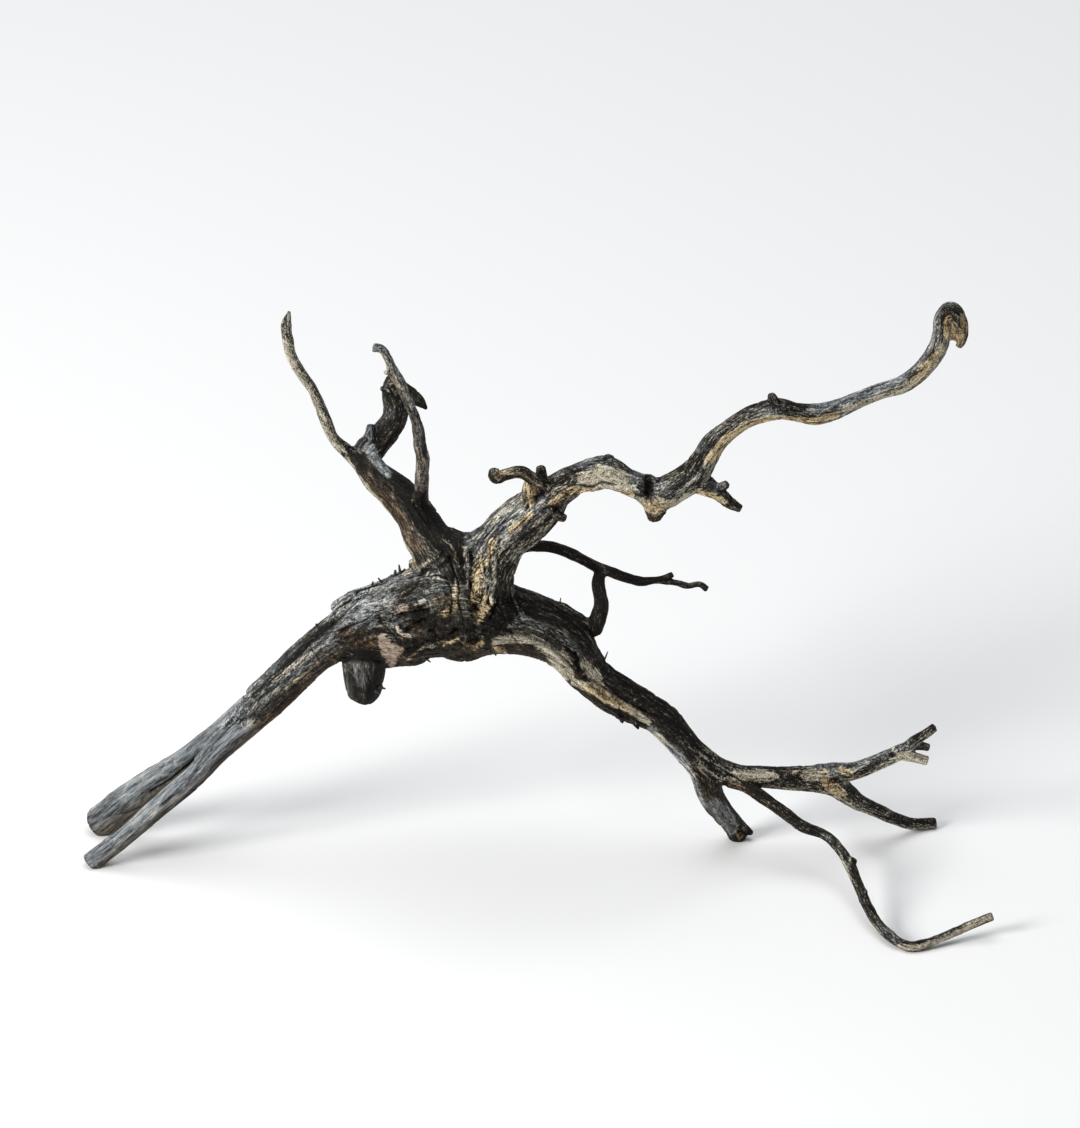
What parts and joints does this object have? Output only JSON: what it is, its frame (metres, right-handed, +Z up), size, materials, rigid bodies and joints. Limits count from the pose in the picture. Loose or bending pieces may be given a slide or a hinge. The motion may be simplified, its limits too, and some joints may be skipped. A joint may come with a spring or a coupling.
{
  "type": "black driftwood root",
  "caption": "Gnarled black driftwood root that stands on the tips of its limbs, with bare forking arms and thin twigs.",
  "frame": {"origin": "middle of the bounding box's footprint, on the ground", "axes": "+X to the right along the root's length, +Y towards the back, +Z up"},
  "size_m": [0.4577, 0.1609, 0.3194],
  "materials": {
    "black_wood": "matt weathered charcoal wood with silvery grain and tan wear"
  },
  "bodies": {
    "root": {"driftwood_root": "black_wood"}
  },
  "joints": []
}
